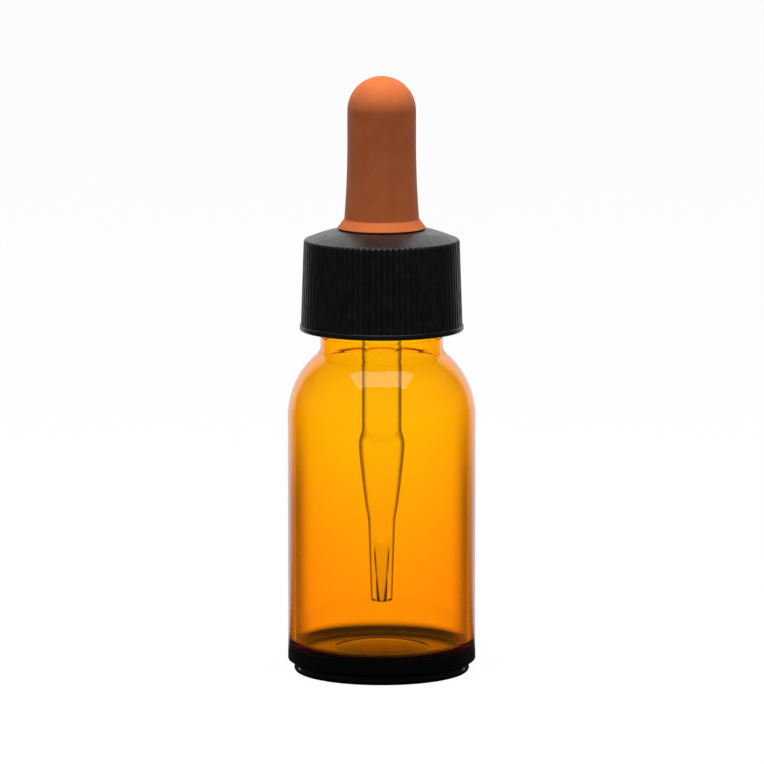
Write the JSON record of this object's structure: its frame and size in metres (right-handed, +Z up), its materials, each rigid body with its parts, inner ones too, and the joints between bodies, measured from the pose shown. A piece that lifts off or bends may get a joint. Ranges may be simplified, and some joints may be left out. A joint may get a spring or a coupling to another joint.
{
  "type": "dropper bottle",
  "caption": "Amber glass bottle with a ribbed screw cap, a rubber bulb and a glass pipette, for storing a liquid and dosing it by the drop.",
  "frame": {"origin": "centre of the bottle's base, on the plane that it stands on", "axes": "+Z up along the common axis of bottle, cap, bulb and pipette; the pieces are round, so +X and +Y are free"},
  "size_m": [0.033, 0.033, 0.1051],
  "materials": {
    "amber_glass": "smooth amber glass",
    "cap_plastic": "satin black moulded plastic",
    "bulb_rubber": "matt orange-brown rubber",
    "clear_glass": "smooth clear glass"
  },
  "bodies": {
    "bottle": {"bottle": "amber_glass"},
    "dropper": {"bulb": "bulb_rubber", "pipette": "clear_glass"},
    "cap": {"cap": "cap_plastic"}
  },
  "joints": [
    {"name": "dropper_lift", "type": "slide", "parent": "bottle", "child": "dropper", "axis": [0, 0, 1], "range_m": [0, 0.06985]},
    {"name": "cap_turn", "type": "hinge", "parent": "dropper", "child": "cap", "pos_m": [0, 0, 0.0684], "axis": [0, 0, 1], "range_deg": [0, 7920]}
  ],
  "couplings": [
    {"joint": "dropper_lift", "follows": "cap_turn", "m_per_rad": 0.00050532}
  ]
}
